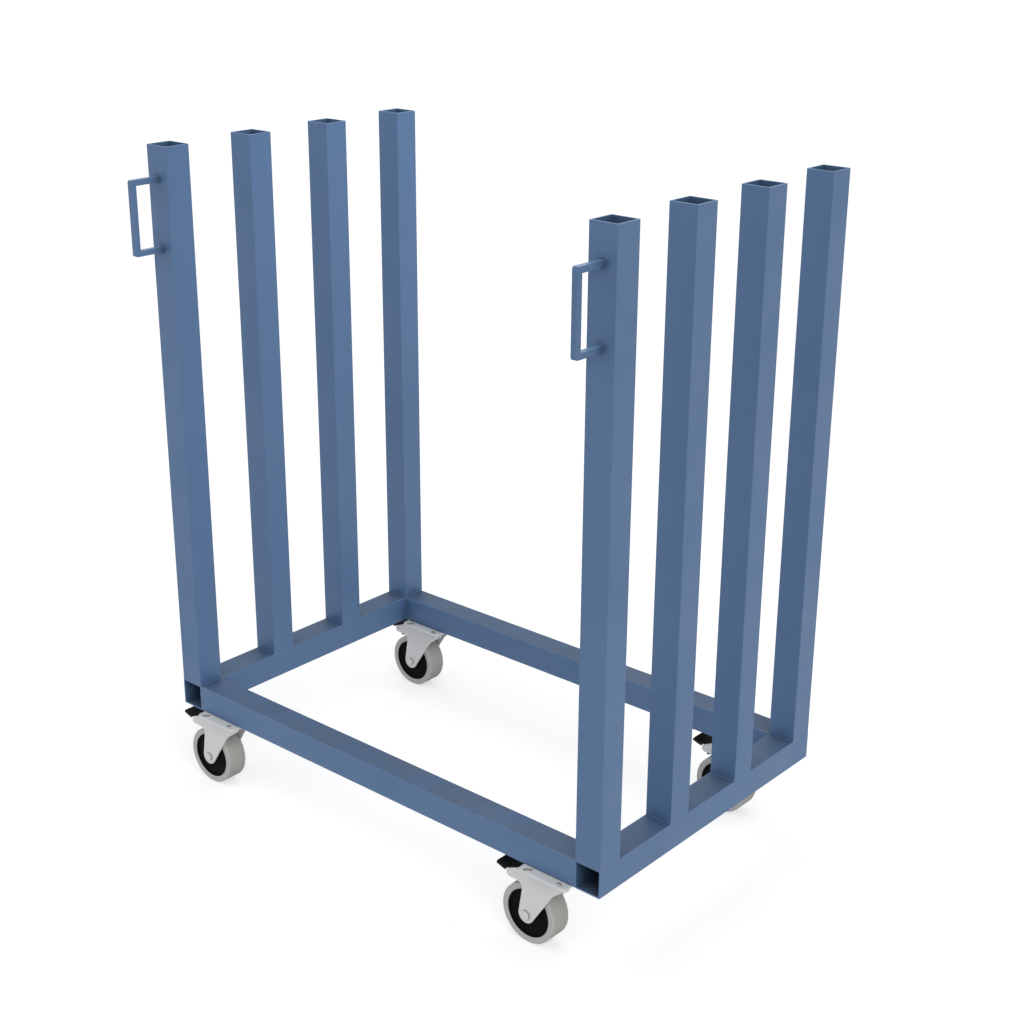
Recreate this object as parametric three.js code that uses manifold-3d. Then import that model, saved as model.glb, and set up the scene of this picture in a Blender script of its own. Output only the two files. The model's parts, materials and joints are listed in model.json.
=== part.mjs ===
// A cart that carries sheet goods on edge: a welded base of square tube, two rows of uprights
// that part the load into bays, a grip on each front upright, and four swivel casters with brakes.
// Millimetres, +Z up. The base is longest along X, and the grips face -Y.
// The origin is on the floor, under the middle of the cart's outline.

import * as THREE from "three";
import { mergeVertices } from "three/addons/utils/BufferGeometryUtils.js";
import Module from "manifold-3d";

const wasm = await Module();
wasm.setup();

// Frame of square tube
const FRAME_LENGTH = 1200; // outside, along X
const FRAME_DEPTH = 720; // outside, along Y
const TUBE = 60; // outside width
const TUBE_WALL = 3;
const TUBE_CORNER = 2; // outside corner radius
const UPRIGHT_LENGTH = 1200;
const UPRIGHTS_PER_SIDE = 4;

// Grips of square bar bent into a U
const HANDLE_BAR = 12; // width and thickness
const HANDLE_CORNER = 4.5; // rounding outside each bend
const HANDLE_REACH = 65; // upright's face to the grip's centre line
const HANDLE_SPACING = 143; // between the centre lines of the two legs
const HANDLE_DROP = 67; // upright's top to the upper leg's centre line

// Casters: where they sit, and the plate that is welded under the rail
const SWIVEL_INSET = 126; // end of the frame to the swivel axis
const SWIVEL_TRAIL = 53; // swivel axis to the axle, along X
const PLATE_LENGTH = 116; // along X
const PLATE_WIDTH = 102; // along Y
const PLATE_THICKNESS = 5;
const PLATE_CORNER = 8;
const SLOT_LENGTH = 19;
const SLOT_WIDTH = 9;
const SLOT_ANGLE = 40; // degrees from X; every slot points towards the middle
const SLOT_INSET_X = 19; // end of the plate to the slot's middle
const SLOT_INSET_Y = 10; // side of the plate to the slot's middle

// Swivel bearing
const RACE_HEIGHT = 3;
const RACE_OUTER = 34; // radius
const RACE_INNER = 22; // radius
const KINGPIN_RADIUS = 7;
const KINGPIN_COLLAR = 14; // radius of the washer under the fork
const KINGPIN_COLLAR_HEIGHT = 3;
const KINGPIN_HEAD = 10; // radius of the closed end
const KINGPIN_HEAD_HEIGHT = 6;

// Wheel
const TYRE_HEADROOM = 48; // top of the plate to the top of the tyre
const TYRE_RADIUS = 65;
const TYRE_WIDTH = 48;
const TYRE_SHOULDER = 1.5; // rounding between tread and side
const TYRE_SIDE_RISE = 1; // the side stands proud of the core's rim by this much
const TYRE_THICKNESS = 14; // tread to core
const CORE_DISH = 3; // depth of the ring between rim and hub
const CORE_RIM = 4; // width of the core's rim
const HUB_RADIUS = 19;
const SLEEVE_RADIUS = 10; // the tube that the hub turns on
const AXLE_RADIUS = 6;
const AXLE_HEAD_RADIUS = 9.5;
const AXLE_HEAD_HEIGHT = 4;
const AXLE_HEAD_EDGE = 1; // chamfer round the head
const AXLE_NUT_SIDES = 6;
const AXLE_NUT_FLATS = 18; // across flats
const AXLE_NUT_HEIGHT = 9;
const AXLE_TAIL = 3; // bolt past its nut

// Fork
const TYRE_SIDE_GAP = 1.5; // tyre to cheek
const HUB_SIDE_GAP = 0.6; // hub to cheek
const CHEEK = 4; // sheet thickness
const CROWN_FRONT = 51; // swivel axis to the crown's front end
const CROWN_FRONT_DROP = 16; // top of the plate to the lower corner of that end
const CROWN_BACK = 55; // swivel axis to the crown's back end
const LEG_FRONT_X = 11; // where the front flare meets the leg
const LEG_FRONT_DROP = 47.5;
const FLARE_X = 17; // control point of the front flare
const FLARE_DROP = 39;
const BOSS_RADIUS = 18.5;
const LEG_BACK_OFFSET = 10.5; // the leg's back edge, behind the axle
const LEG_BACK_DROP = 60; // where the back edge turns into the arm

// Brake
const PEDAL_PIN_BACK = 42; // axle to the pedal's pin, along X
const PEDAL_PIN_DROP = 35.5; // top of the plate to the pin
const PEDAL_PIN_RADIUS = 3.5;
const PEDAL_PIN_HEAD = 5.5; // radius
const PEDAL_PIN_HEAD_HEIGHT = 1.5;
const ARM_RADIUS = 8.5; // round end of the fork's arm
const PEDAL_TILT = 17; // degrees up at rest
const BRAKE_TRAVEL = 17; // degrees from rest to the brake being on
const PEDAL_REACH = 33; // pin to the pedal's tip
const PEDAL_TAIL = 20; // pin to the pedal's inner end
const PEDAL_WIDTH = 69; // of the part outside the arms
const PEDAL_THICKNESS = 5;
const PEDAL_TIP_CORNER = 1.5;
const PEDAL_LUG = 8.5; // radius of the boss round the pin
const PEDAL_SIDE_GAP = 1; // lug to cheek
const PEDAL_ARM_GAP = 0.8; // wide part to the round ends of the arms
const SHOE_WIDTH = 20;
const SHOE_START = 120; // degrees round the wheel, with the brake on
const SHOE_END = 129;
const SHOE_GAP = 0.6; // shoe to tyre with the brake on

// Clearances and fineness
const FIT_GAP = 0.3; // between a round piece and the hole it sits or turns in
const SAME_POINT = 1e-3; // corners nearer than this are one corner
const WHEEL_STEPS = 36; // facets round the tyre
const CORE_STEPS = 24; // facets round the core and the race
const SHAFT_STEPS = 16; // facets round a shaft, bar or hole
const OUTLINE_STEPS = 4; // facets along a curve of the fork or pedal; its arcs have twice as many
const CORNER_STEPS = 2; // the same for small rounded ends
const TUBE_CORNER_STEPS = 1; // the same for the tube's corners

// Sizes that follow from those above
const sideX = (FRAME_LENGTH - TUBE) / 2;
const uprightPitch = (FRAME_DEPTH - TUBE) / (UPRIGHTS_PER_SIDE - 1);
const casterHeight = TYRE_HEADROOM + 2 * TYRE_RADIUS;
const swivelX = FRAME_LENGTH / 2 - SWIVEL_INSET;
const rollingHeight = TYRE_RADIUS * Math.cos(Math.PI / WHEEL_STEPS); // the tyre stands on a facet
const axle = new THREE.Vector2(-SWIVEL_TRAIL, rollingHeight - casterHeight);
const pedalPin = new THREE.Vector2(axle.x - PEDAL_PIN_BACK, -PEDAL_PIN_DROP);
const crownTop = -PLATE_THICKNESS - RACE_HEIGHT;
const coreRadius = TYRE_RADIUS - TYRE_THICKNESS;
const forkInside = TYRE_WIDTH / 2 + TYRE_SIDE_GAP;
const forkOutside = forkInside + CHEEK;
const rearRowY = FRAME_DEPTH - TUBE / 2;
const frontReach = HANDLE_REACH + HANDLE_BAR / 2;
const rearReach = Math.max(FRAME_DEPTH, rearRowY + PLATE_WIDTH / 2);

const FINISH = {
  blue: { color: 0x5a7cab, roughness: 0.45, metalness: 0.0 },
  zinc: { color: 0xc4c6c8, roughness: 0.35, metalness: 0.8 },
  rubber: { color: 0xa8a8a7, roughness: 0.8, metalness: 0.0 },
  black: { color: 0x151617, roughness: 0.5, metalness: 0.0 },
};

function piece(name, geometry, finish) {
  const mesh = new THREE.Mesh(geometry, new THREE.MeshStandardMaterial(FINISH[finish]));
  mesh.name = name;
  return mesh;
}

// Joining closed shapes into one solid
function solidOf(geometry) {
  const bare = new THREE.BufferGeometry().setAttribute("position", geometry.getAttribute("position"));
  bare.setIndex(geometry.getIndex());
  const merged = mergeVertices(bare, SAME_POINT);
  const vertProperties = Float32Array.from(merged.attributes.position.array);
  const triVerts = Uint32Array.from(merged.index.array);
  return new wasm.Manifold(new wasm.Mesh({ numProp: 3, vertProperties, triVerts }));
}

function joined(geometries) {
  const mesh = geometries.map(solidOf).reduce((sum, next) => sum.add(next)).getMesh();
  const geometry = new THREE.BufferGeometry();
  geometry.setAttribute("position", new THREE.BufferAttribute(mesh.vertProperties, 3));
  geometry.setIndex(new THREE.BufferAttribute(mesh.triVerts, 1));
  return geometry;
}

// Outlines
function roundedRectangle(width, height, radius) {
  const x = width / 2 - radius;
  const y = height / 2 - radius;
  const quarter = Math.PI / 2;
  const shape = new THREE.Shape();
  shape.absarc(x, y, radius, 0, quarter);
  shape.absarc(-x, y, radius, quarter, 2 * quarter);
  shape.absarc(-x, -y, radius, 2 * quarter, 3 * quarter);
  shape.absarc(x, -y, radius, 3 * quarter, 4 * quarter);
  shape.closePath();
  return shape;
}

function rectangle(width, height) {
  const shape = new THREE.Shape();
  shape.moveTo(width / 2, height / 2);
  shape.lineTo(-width / 2, height / 2);
  shape.lineTo(-width / 2, -height / 2);
  shape.lineTo(width / 2, -height / 2);
  shape.closePath();
  return shape;
}

function circle(x, y, radius) {
  const points = [];
  for (let i = 0; i < SHAFT_STEPS; i++) {
    const angle = (-2 * Math.PI * i) / SHAFT_STEPS;
    points.push(new THREE.Vector2(x + radius * Math.cos(angle), y + radius * Math.sin(angle)));
  }
  return new THREE.Path(points);
}

// Where the line from a point touches a circle. Side is 1 or -1.
function tangentPoint(point, centre, radius, side) {
  const away = point.clone().sub(centre);
  const turn = Math.acos(radius / away.length());
  const angle = away.angle() + side * turn;
  return new THREE.Vector2(Math.cos(angle), Math.sin(angle)).multiplyScalar(radius).add(centre);
}

// Solids from outlines
function extruded(shape, depth, curveSegments) {
  return new THREE.ExtrudeGeometry(shape, { depth, curveSegments, bevelEnabled: false });
}

// A side view in X and Z, given thickness along Y from one value to another
function slabAcross(shape, fromY, toY, curveSegments) {
  return extruded(shape, toY - fromY, curveSegments).rotateX(Math.PI / 2).translate(0, toY, 0);
}

// A turned piece whose axis is Y. Each point is [radius, y], and the profile closes on itself.
function turned(points, steps) {
  const profile = points.map(([radius, y]) => new THREE.Vector2(radius, y));
  return new THREE.LatheGeometry([...profile, profile[0]], steps);
}

// A square tube from z = 0 upwards, with its rings of corners at the given stations
function squareTube(stations) {
  const section = roundedRectangle(TUBE, TUBE, TUBE_CORNER);
  section.holes.push(rectangle(TUBE - 2 * TUBE_WALL, TUBE - 2 * TUBE_WALL));
  const steps = stations.length - 1;
  const options = { depth: steps, steps, curveSegments: TUBE_CORNER_STEPS, bevelEnabled: false };
  const tube = new THREE.ExtrudeGeometry(section, options);
  const position = tube.getAttribute("position");
  for (let i = 0; i < position.count; i++) {
    position.setZ(i, stations[Math.round(position.getZ(i))]);
  }
  return tube;
}

// Frame. Its own space has y = 0 at the front faces and z = 0 under the rails.

// The stations put an edge on each side of every upright's foot, so each seat is a face of its own
function sideRail(name, x) {
  const stations = [];
  for (let i = 0; i < UPRIGHTS_PER_SIDE; i++) {
    stations.push(i * uprightPitch, i * uprightPitch + TUBE);
  }
  const geometry = squareTube(stations).rotateX(-Math.PI / 2).translate(0, 0, TUBE / 2);
  const rail = piece(name, geometry, "blue");
  rail.position.x = x;
  return rail;
}

function crossRail(name, y) {
  const length = FRAME_LENGTH - 2 * TUBE;
  const geometry = squareTube([0, length]).rotateY(Math.PI / 2).translate(-length / 2, 0, TUBE / 2);
  const rail = piece(name, geometry, "blue");
  rail.position.y = y;
  return rail;
}

function upright(name, x, y) {
  const post = piece(name, squareTube([0, UPRIGHT_LENGTH]), "blue");
  post.position.set(x, y, TUBE);
  return post;
}

// Drawn in side view, in Y and Z, with the open side of the U on the upright's face
function handle(name, x) {
  const half = HANDLE_BAR / 2;
  const bend = half - HANDLE_CORNER; // centre line to the centre of the outer rounding
  const upper = TUBE + UPRIGHT_LENGTH - HANDLE_DROP;
  const lower = upper - HANDLE_SPACING;
  const shape = new THREE.Shape();
  shape.moveTo(0, upper + half);
  shape.absarc(-HANDLE_REACH - bend, upper + bend, HANDLE_CORNER, Math.PI / 2, Math.PI);
  shape.absarc(-HANDLE_REACH - bend, lower - bend, HANDLE_CORNER, Math.PI, 1.5 * Math.PI);
  shape.lineTo(0, lower - half);
  shape.lineTo(0, lower + half);
  shape.lineTo(half - HANDLE_REACH, lower + half);
  shape.lineTo(half - HANDLE_REACH, upper - half);
  shape.lineTo(0, upper - half);
  shape.closePath();
  const bar = extruded(shape, HANDLE_BAR, CORNER_STEPS).translate(0, 0, -half);
  const grip = piece(name, bar.rotateX(Math.PI / 2).rotateZ(Math.PI / 2), "blue");
  grip.position.x = x;
  return grip;
}

function frame() {
  const group = new THREE.Group();
  const sides = [["left", -sideX], ["right", sideX]];
  for (const [side, x] of sides) {
    group.add(sideRail(`side_rail_${side}`, x));
    for (let i = 0; i < UPRIGHTS_PER_SIDE; i++) {
      group.add(upright(`upright_${side}_${i + 1}`, x, TUBE / 2 + i * uprightPitch));
    }
    group.add(handle(`handle_${side}`, x));
  }
  group.add(crossRail("front_rail", TUBE / 2));
  group.add(crossRail("rear_rail", rearRowY));
  return group;
}

// Caster. Its own space has the swivel axis at x = y = 0 and the plate's top at z = 0.
// It trails towards -X, so the pedal points that way too.

function topPlate() {
  const shape = roundedRectangle(PLATE_LENGTH, PLATE_WIDTH, PLATE_CORNER);
  shape.holes.push(circle(0, 0, KINGPIN_RADIUS + FIT_GAP));
  const slotX = PLATE_LENGTH / 2 - SLOT_INSET_X;
  const slotY = PLATE_WIDTH / 2 - SLOT_INSET_Y;
  const end = SLOT_WIDTH / 2;
  const straight = SLOT_LENGTH / 2 - end;
  const slant = THREE.MathUtils.degToRad(SLOT_ANGLE);
  for (const [toEnd, toSide] of [[1, 1], [-1, 1], [-1, -1], [1, -1]]) {
    const along = new THREE.Vector2(toEnd * Math.cos(slant), toSide * Math.sin(slant));
    const middle = new THREE.Vector2(toEnd * slotX, toSide * slotY);
    const outer = middle.clone().addScaledVector(along, straight);
    const inner = middle.clone().addScaledVector(along, -straight);
    const turn = along.angle();
    const slot = new THREE.Path();
    slot.absarc(outer.x, outer.y, end, turn + Math.PI / 2, turn - Math.PI / 2, true);
    slot.absarc(inner.x, inner.y, end, turn - Math.PI / 2, turn - 1.5 * Math.PI, true);
    slot.closePath();
    shape.holes.push(slot);
  }
  return extruded(shape, PLATE_THICKNESS, CORNER_STEPS).translate(0, 0, -PLATE_THICKNESS);
}

// Upright turned pieces are turned about Y and stood on end
function stood(geometry) {
  return geometry.rotateX(Math.PI / 2);
}

function kingpin() {
  const collarTop = crownTop - CHEEK - FIT_GAP;
  const collarBottom = collarTop - KINGPIN_COLLAR_HEIGHT;
  const end = collarBottom - KINGPIN_HEAD_HEIGHT;
  const profile = [
    [0, end],
    [KINGPIN_HEAD, end],
    [KINGPIN_HEAD, collarBottom],
    [KINGPIN_COLLAR, collarBottom],
    [KINGPIN_COLLAR, collarTop],
    [KINGPIN_RADIUS, collarTop],
    [KINGPIN_RADIUS, -FIT_GAP],
    [0, -FIT_GAP],
  ];
  return stood(turned(profile, SHAFT_STEPS));
}

function race() {
  const top = -PLATE_THICKNESS - FIT_GAP;
  const profile = [
    [RACE_INNER, crownTop],
    [RACE_OUTER, crownTop],
    [RACE_OUTER, top],
    [RACE_INNER, top],
  ];
  return stood(turned(profile, CORE_STEPS));
}

// Side view of one cheek: a wide crown, a leg that narrows to the axle, and an arm for the pedal's pin
function cheekShape() {
  const flareEnd = new THREE.Vector2(LEG_FRONT_X, -LEG_FRONT_DROP);
  const legBack = new THREE.Vector2(axle.x - LEG_BACK_OFFSET, -LEG_BACK_DROP);
  const front = tangentPoint(flareEnd, axle, BOSS_RADIUS, -1).sub(axle).angle();
  const back = tangentPoint(legBack, axle, BOSS_RADIUS, 1).sub(axle).angle();
  const crownBack = new THREE.Vector2(-CROWN_BACK, crownTop);
  const armTop = tangentPoint(crownBack, pedalPin, ARM_RADIUS, 1).sub(pedalPin).angle();
  const armBottom = pedalPin.y - ARM_RADIUS;
  const shape = new THREE.Shape();
  shape.moveTo(CROWN_FRONT, crownTop);
  shape.lineTo(crownBack.x, crownBack.y);
  shape.absarc(pedalPin.x, pedalPin.y, ARM_RADIUS, armTop, 1.5 * Math.PI);
  shape.lineTo((pedalPin.x + legBack.x) / 2, armBottom);
  shape.quadraticCurveTo(legBack.x, armBottom, legBack.x, legBack.y);
  shape.absarc(axle.x, axle.y, BOSS_RADIUS, back, front);
  shape.lineTo(flareEnd.x, flareEnd.y);
  shape.quadraticCurveTo(FLARE_X, -FLARE_DROP, CROWN_FRONT, -CROWN_FRONT_DROP);
  shape.closePath();
  shape.holes.push(circle(axle.x, axle.y, AXLE_RADIUS + FIT_GAP));
  shape.holes.push(circle(pedalPin.x, pedalPin.y, PEDAL_PIN_RADIUS + FIT_GAP));
  return shape;
}

function fork() {
  const crown = new THREE.Shape();
  crown.moveTo(-CROWN_BACK, -forkOutside);
  crown.lineTo(CROWN_FRONT, -forkOutside);
  crown.lineTo(CROWN_FRONT, forkOutside);
  crown.lineTo(-CROWN_BACK, forkOutside);
  crown.closePath();
  crown.holes.push(circle(0, 0, KINGPIN_RADIUS + FIT_GAP));
  return joined([
    extruded(crown, CHEEK, OUTLINE_STEPS).translate(0, 0, crownTop - CHEEK),
    slabAcross(cheekShape(), -forkOutside, -forkInside, OUTLINE_STEPS),
    slabAcross(cheekShape(), forkInside, forkOutside, OUTLINE_STEPS),
  ]);
}

function tyre() {
  const half = TYRE_WIDTH / 2;
  const bore = coreRadius + FIT_GAP;
  const rim = half - TYRE_SIDE_RISE;
  const shoulder = TYRE_SHOULDER * (1 - Math.SQRT1_2); // the rounding's middle point lies this far in
  const profile = [
    [bore, -rim],
    [TYRE_RADIUS - TYRE_SHOULDER, -half],
    [TYRE_RADIUS - shoulder, shoulder - half],
    [TYRE_RADIUS, TYRE_SHOULDER - half],
    [TYRE_RADIUS, half - TYRE_SHOULDER],
    [TYRE_RADIUS - shoulder, half - shoulder],
    [TYRE_RADIUS - TYRE_SHOULDER, half],
    [bore, rim],
  ];
  return turned(profile, WHEEL_STEPS).rotateY(Math.PI / WHEEL_STEPS).translate(axle.x, 0, axle.y);
}

function wheelCore() {
  const rim = TYRE_WIDTH / 2 - TYRE_SIDE_RISE;
  const web = rim - CORE_DISH;
  const hub = forkInside - HUB_SIDE_GAP;
  const bore = SLEEVE_RADIUS + FIT_GAP;
  const profile = [
    [bore, -hub],
    [HUB_RADIUS, -hub],
    [HUB_RADIUS, -web],
    [coreRadius - CORE_RIM, -web],
    [coreRadius, -rim],
    [coreRadius, rim],
    [coreRadius - CORE_RIM, web],
    [HUB_RADIUS, web],
    [HUB_RADIUS, hub],
    [bore, hub],
  ];
  return turned(profile, CORE_STEPS).translate(axle.x, 0, axle.y);
}

function axleSleeve() {
  const profile = [
    [AXLE_RADIUS + FIT_GAP, -forkInside],
    [SLEEVE_RADIUS, -forkInside],
    [SLEEVE_RADIUS, forkInside],
    [AXLE_RADIUS + FIT_GAP, forkInside],
  ];
  return turned(profile, SHAFT_STEPS).translate(axle.x, 0, axle.y);
}

function axleBolt() {
  const head = -forkOutside;
  const tail = forkOutside + AXLE_NUT_HEIGHT + AXLE_TAIL;
  const profile = [
    [0, head - AXLE_HEAD_HEIGHT],
    [AXLE_HEAD_RADIUS - AXLE_HEAD_EDGE, head - AXLE_HEAD_HEIGHT],
    [AXLE_HEAD_RADIUS, head - AXLE_HEAD_HEIGHT + AXLE_HEAD_EDGE],
    [AXLE_HEAD_RADIUS, head],
    [AXLE_RADIUS, head],
    [AXLE_RADIUS, tail],
    [0, tail],
  ];
  return turned(profile, SHAFT_STEPS).translate(axle.x, 0, axle.y);
}

function axleNut() {
  const corner = AXLE_NUT_FLATS / 2 / Math.cos(Math.PI / AXLE_NUT_SIDES);
  const corners = [];
  for (let i = 0; i < AXLE_NUT_SIDES; i++) {
    const angle = (2 * Math.PI * i) / AXLE_NUT_SIDES;
    corners.push(new THREE.Vector2(Math.cos(angle), Math.sin(angle)).multiplyScalar(corner).add(axle));
  }
  const hexagon = new THREE.Shape(corners);
  hexagon.holes.push(circle(axle.x, axle.y, AXLE_RADIUS + FIT_GAP));
  return slabAcross(hexagon, forkOutside, forkOutside + AXLE_NUT_HEIGHT, OUTLINE_STEPS);
}

function pedalPinPiece() {
  const face = forkOutside;
  const end = face + PEDAL_PIN_HEAD_HEIGHT;
  const profile = [
    [0, -end],
    [PEDAL_PIN_HEAD, -end],
    [PEDAL_PIN_HEAD, -face],
    [PEDAL_PIN_RADIUS, -face],
    [PEDAL_PIN_RADIUS, face],
    [PEDAL_PIN_HEAD, face],
    [PEDAL_PIN_HEAD, end],
    [0, end],
  ];
  return turned(profile, SHAFT_STEPS).translate(pedalPin.x, 0, pedalPin.y);
}

// A point of the pedal at rest: out from the pin along the tilted pad, and up from it
function onPedal(out, up) {
  const tilt = THREE.MathUtils.degToRad(180 - PEDAL_TILT);
  return new THREE.Vector2(out, -up).rotateAround(new THREE.Vector2(), tilt).add(pedalPin);
}

// The pad's lever between the arms, with the boss round the pin
function pedalLever() {
  const top = PEDAL_LUG;
  const under = PEDAL_LUG - PEDAL_THICKNESS;
  const outer = ARM_RADIUS + PEDAL_ARM_GAP + PEDAL_THICKNESS;
  const lugSide = Math.sqrt(PEDAL_LUG ** 2 - under ** 2);
  const lugStart = onPedal(lugSide, under).sub(pedalPin).angle();
  const lugEnd = onPedal(-lugSide, under).sub(pedalPin).angle();
  const shape = new THREE.Shape();
  shape.setFromPoints([
    onPedal(-PEDAL_TAIL, under),
    onPedal(-PEDAL_TAIL, top),
    onPedal(outer, top),
    onPedal(outer, under),
  ]);
  shape.absarc(pedalPin.x, pedalPin.y, PEDAL_LUG, lugStart, lugEnd);
  shape.closePath();
  shape.holes.push(circle(pedalPin.x, pedalPin.y, PEDAL_PIN_RADIUS + FIT_GAP));
  const half = forkInside - PEDAL_SIDE_GAP;
  return slabAcross(shape, -half, half, OUTLINE_STEPS);
}

// The wide pad outside the arms, drawn flat, then laid on the tilt
function pedalPad() {
  const inner = ARM_RADIUS + PEDAL_ARM_GAP;
  const half = PEDAL_WIDTH / 2;
  const r = PEDAL_TIP_CORNER;
  const shape = new THREE.Shape();
  shape.moveTo(-inner, half);
  shape.absarc(r - PEDAL_REACH, half - r, r, Math.PI / 2, Math.PI);
  shape.absarc(r - PEDAL_REACH, r - half, r, Math.PI, 1.5 * Math.PI);
  shape.lineTo(-inner, -half);
  shape.closePath();
  const pad = extruded(shape, PEDAL_THICKNESS, CORNER_STEPS);
  pad.translate(0, 0, PEDAL_LUG - PEDAL_THICKNESS);
  pad.rotateY(THREE.MathUtils.degToRad(PEDAL_TILT));
  return pad.translate(pedalPin.x, 0, pedalPin.y);
}

// The shoe's face follows the tyre when the brake is on, and is turned back about the pin from there.
// It grows out of the boss, between the bore and the outside.
function brakeShoe() {
  const released = THREE.MathUtils.degToRad(-BRAKE_TRAVEL);
  const face = TYRE_RADIUS + SHOE_GAP;
  const rootDrop = (PEDAL_LUG + PEDAL_PIN_RADIUS + FIT_GAP) / 2;
  const rootHalf = Math.sqrt(PEDAL_LUG ** 2 - rootDrop ** 2);
  const points = [new THREE.Vector2(-rootHalf, -rootDrop).add(pedalPin)];
  for (let i = 0; i <= OUTLINE_STEPS; i++) {
    const degrees = SHOE_END + ((SHOE_START - SHOE_END) * i) / OUTLINE_STEPS;
    const angle = THREE.MathUtils.degToRad(degrees);
    points.push(new THREE.Vector2(Math.cos(angle), Math.sin(angle)).multiplyScalar(face).add(axle));
  }
  points.push(new THREE.Vector2(rootHalf, -rootDrop).add(pedalPin));
  const outline = points.map((point) => point.rotateAround(pedalPin, released));
  return slabAcross(new THREE.Shape(outline), -SHOE_WIDTH / 2, SHOE_WIDTH / 2, OUTLINE_STEPS);
}

function caster(place, x, y) {
  const group = new THREE.Group();
  const pieces = [
    ["top_plate", topPlate(), "zinc"],
    ["kingpin", kingpin(), "zinc"],
    ["ball_race", race(), "zinc"],
    ["fork", fork(), "zinc"],
    ["tyre", tyre(), "rubber"],
    ["wheel_core", wheelCore(), "black"],
    ["axle_sleeve", axleSleeve(), "zinc"],
    ["axle_bolt", axleBolt(), "zinc"],
    ["axle_nut", axleNut(), "zinc"],
    ["brake_pedal", joined([pedalLever(), pedalPad(), brakeShoe()]), "black"],
    ["pedal_pin", pedalPinPiece(), "zinc"],
  ];
  for (const [name, geometry, finish] of pieces) {
    group.add(piece(`caster_${place}_${name}`, geometry, finish));
  }
  group.position.set(x, y, 0);
  return group;
}

const cart = new THREE.Group();
cart.add(frame());
for (const [row, y] of [["front", TUBE / 2], ["rear", rearRowY]]) {
  for (const [side, x] of [["left", -swivelX], ["right", swivelX]]) {
    cart.add(caster(`${row}_${side}`, x, y));
  }
}
cart.position.set(0, (frontReach - rearReach) / 2, casterHeight);

export default cart;
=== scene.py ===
# %% [markdown]
# # A rolling cart for sheet goods
# The cart is a welded base of square steel tube with two rows of open uprights, a grip on each front
# upright, and four swivel casters with foot brakes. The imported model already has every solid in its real
# place and size, so this lesson never moves anything. It swaps coarse solids for finer meshes of the same
# size, adds the weld beads, and gives every surface a finish made from shader nodes.

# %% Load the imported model
import json
import math

import bmesh
import bpy
from mathutils import Matrix, Vector


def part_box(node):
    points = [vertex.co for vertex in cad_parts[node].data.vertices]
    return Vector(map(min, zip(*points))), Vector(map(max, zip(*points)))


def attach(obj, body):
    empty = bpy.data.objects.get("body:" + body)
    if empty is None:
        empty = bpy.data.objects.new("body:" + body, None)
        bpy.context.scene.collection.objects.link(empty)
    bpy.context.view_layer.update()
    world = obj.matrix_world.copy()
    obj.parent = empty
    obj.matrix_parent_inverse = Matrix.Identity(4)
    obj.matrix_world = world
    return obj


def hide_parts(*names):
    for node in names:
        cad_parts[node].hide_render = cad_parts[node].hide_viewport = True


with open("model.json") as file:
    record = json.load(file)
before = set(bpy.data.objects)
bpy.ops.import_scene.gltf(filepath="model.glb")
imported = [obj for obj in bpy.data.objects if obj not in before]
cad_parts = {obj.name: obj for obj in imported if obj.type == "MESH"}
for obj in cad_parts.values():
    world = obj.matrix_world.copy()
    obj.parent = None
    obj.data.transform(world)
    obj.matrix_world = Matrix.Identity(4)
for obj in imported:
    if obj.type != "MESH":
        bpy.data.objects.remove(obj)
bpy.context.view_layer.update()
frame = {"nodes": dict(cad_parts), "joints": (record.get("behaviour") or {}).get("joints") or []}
MM = 0.001  # Blender works in metres, and the sizes below are in millimetres

# %% [markdown]
# ## The camera
# A camera can be placed by eye, but then every size looks slightly wrong. This one was worked out from the
# straight edges of the tubes: where it stands, which way it looks, and its lens. The picture then lies on
# the photograph to within a pixel.

# %% Camera
CAMERA_AT = Vector((2.2401, -2.4945, 1.9828))
CAMERA_AZIMUTH = math.radians(40.737)
CAMERA_ELEVATION = math.radians(20.947)
CAMERA_ROLL = math.radians(0.336)
CAMERA_LENS = 60.16  # millimetres, on Blender's 36 mm sensor


def add_object(name, data):
    made = bpy.data.objects.new(name, data)
    bpy.context.scene.collection.objects.link(made)
    return made


def compass(azimuth, elevation):
    """The direction from the cart towards something seen at these angles. Azimuth 0 is in front."""
    level = math.cos(elevation)
    return Vector((math.sin(azimuth) * level, -math.cos(azimuth) * level, math.sin(elevation)))


camera = add_object("camera", bpy.data.cameras.new("camera"))
camera.data.lens = CAMERA_LENS
backward = compass(CAMERA_AZIMUTH, CAMERA_ELEVATION)
rightward = Vector((math.cos(CAMERA_AZIMUTH), math.sin(CAMERA_AZIMUTH), 0))
upward = backward.cross(rightward)
looking = Matrix((rightward, upward, backward)).transposed().to_4x4()
camera.matrix_world = Matrix.Translation(CAMERA_AT) @ looking @ Matrix.Rotation(CAMERA_ROLL, 4, "Z")
bpy.context.scene.camera = camera
bpy.context.scene.view_settings.view_transform = "Standard"
print("camera at", [round(x, 3) for x in camera.location])

# %% [markdown]
# ## Floor and light
# The photograph has a white ground and soft light that comes mostly from the right. Two broad suns and a
# pale sky do that, at a level where a colour renders about as it is written. A softbox over the back of the
# cart lights the open tops. Lamps strong enough to bleach the floor would bleach the paint too, so the floor
# gets some of its white as emission that only cameras and reflections see. It still takes the cart's shadow.

# %% Node helpers
def add_node(tree, kind, inputs=None, **settings):
    """A shader node with its settings made and its inputs set or linked. Inputs go by name or number."""
    made = tree.nodes.new("ShaderNode" + kind)
    for key, value in settings.items():
        setattr(made, key, value)
    for key, value in (inputs or {}).items():
        if isinstance(value, bpy.types.NodeSocket):
            tree.links.new(value, made.inputs[key])
        else:
            made.inputs[key].default_value = value
    return made


def calculate(tree, operation, first, second=0.0):
    """A Math node's result."""
    return add_node(tree, "Math", {0: first, 1: second}, operation=operation).outputs[0]


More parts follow.
